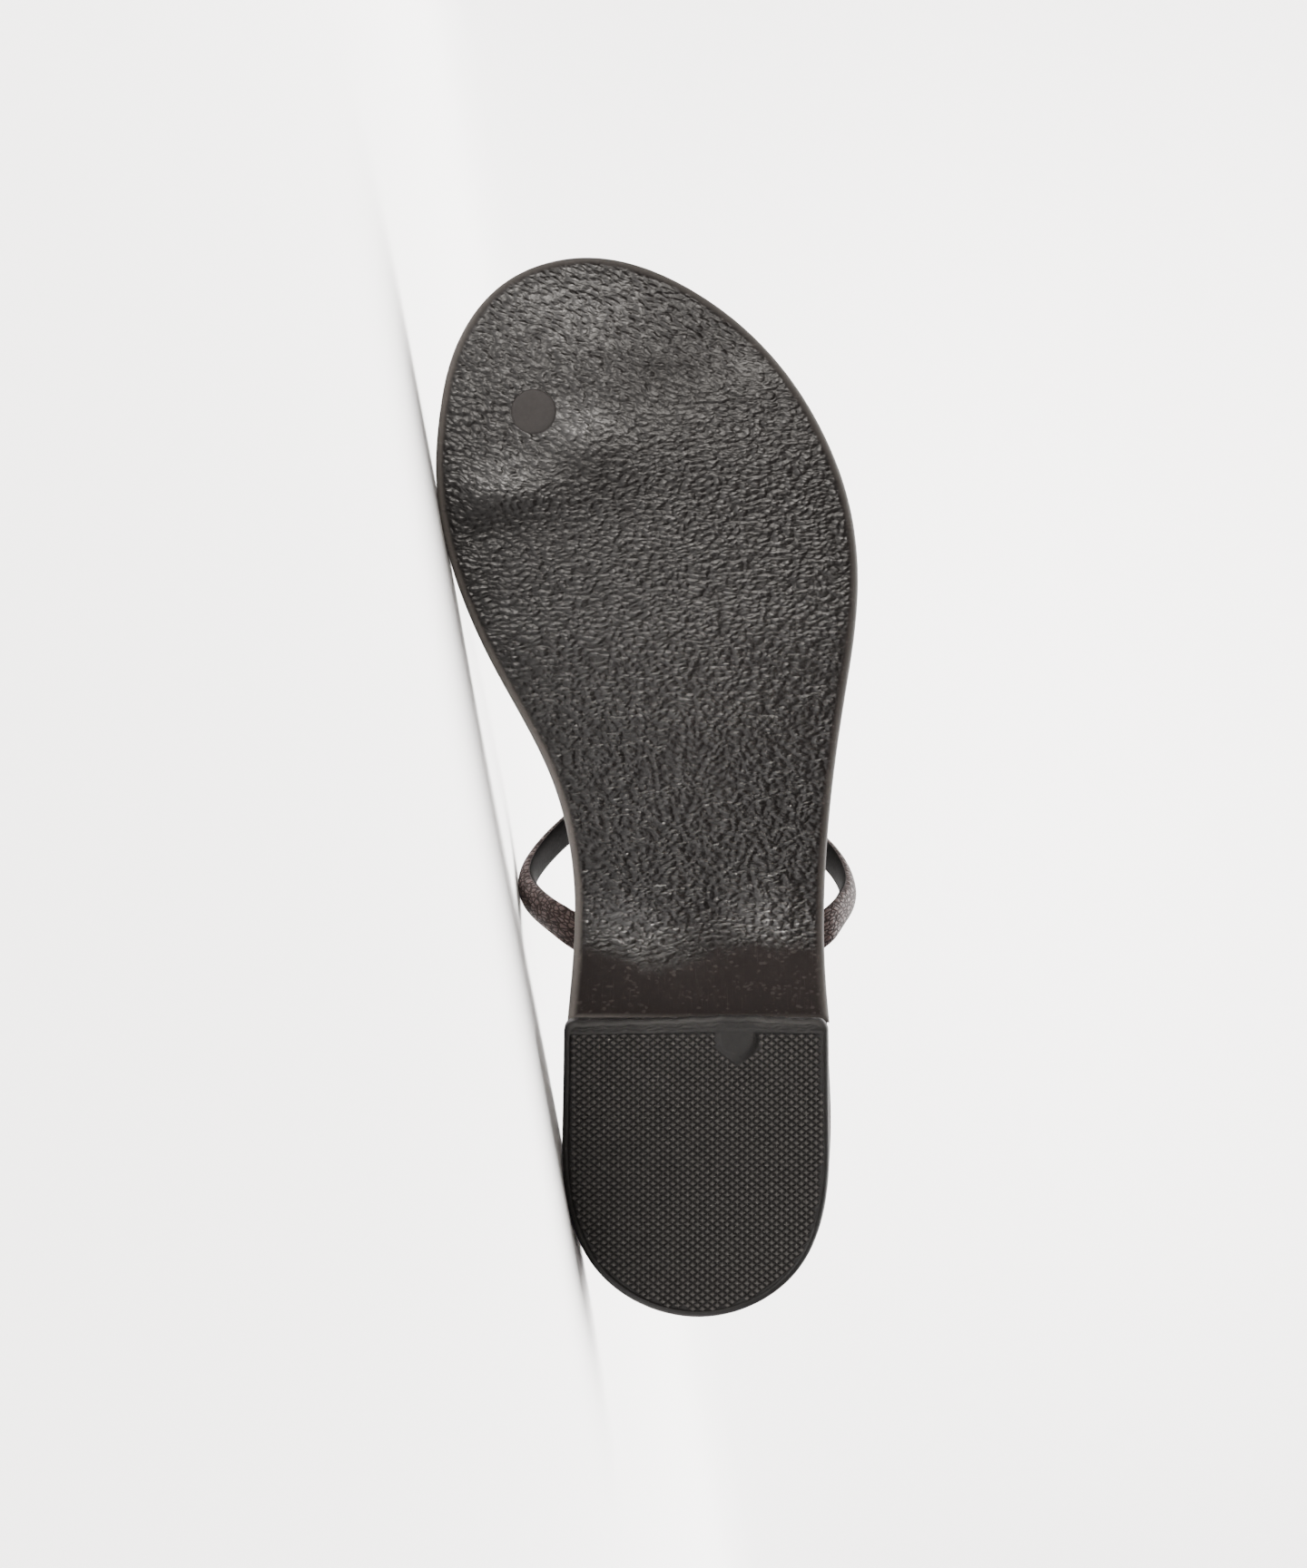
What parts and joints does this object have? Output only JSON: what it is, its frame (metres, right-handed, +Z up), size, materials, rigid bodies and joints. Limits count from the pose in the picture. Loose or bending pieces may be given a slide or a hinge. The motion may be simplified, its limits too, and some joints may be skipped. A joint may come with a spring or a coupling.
{
  "type": "thong sandal",
  "caption": "Left thong sandal with a low block heel, embossed outsole, wrapped footbed and slim padded instep and toe straps, lying on its inner side.",
  "frame": {"origin": "on the floor under the middle of the bounding box, with the shoe lying on its inner (big-toe) side", "axes": "+X from the toe to the heel along the side it lies on, -Y out of the ground face of the sole, +Z up from the floor"},
  "size_m": [0.2478, 0.0666, 0.0935],
  "materials": {
    "outsole": "semi-gloss wrinkled emboss",
    "footbed": "satin wrapped edge",
    "insole": "satin",
    "heel_block": "satin",
    "heel_lift": "matte with fine pyramid tread",
    "upper_straps": "embossed scale grain, satin",
    "thong_plug": "matte"
  },
  "bodies": {
    "root": {"outsole": "outsole", "footbed": "footbed", "insole": "insole", "heel_block": "heel_block", "heel_lift": "heel_lift", "upper_straps": "upper_straps", "thong_plug": "thong_plug"}
  },
  "joints": []
}
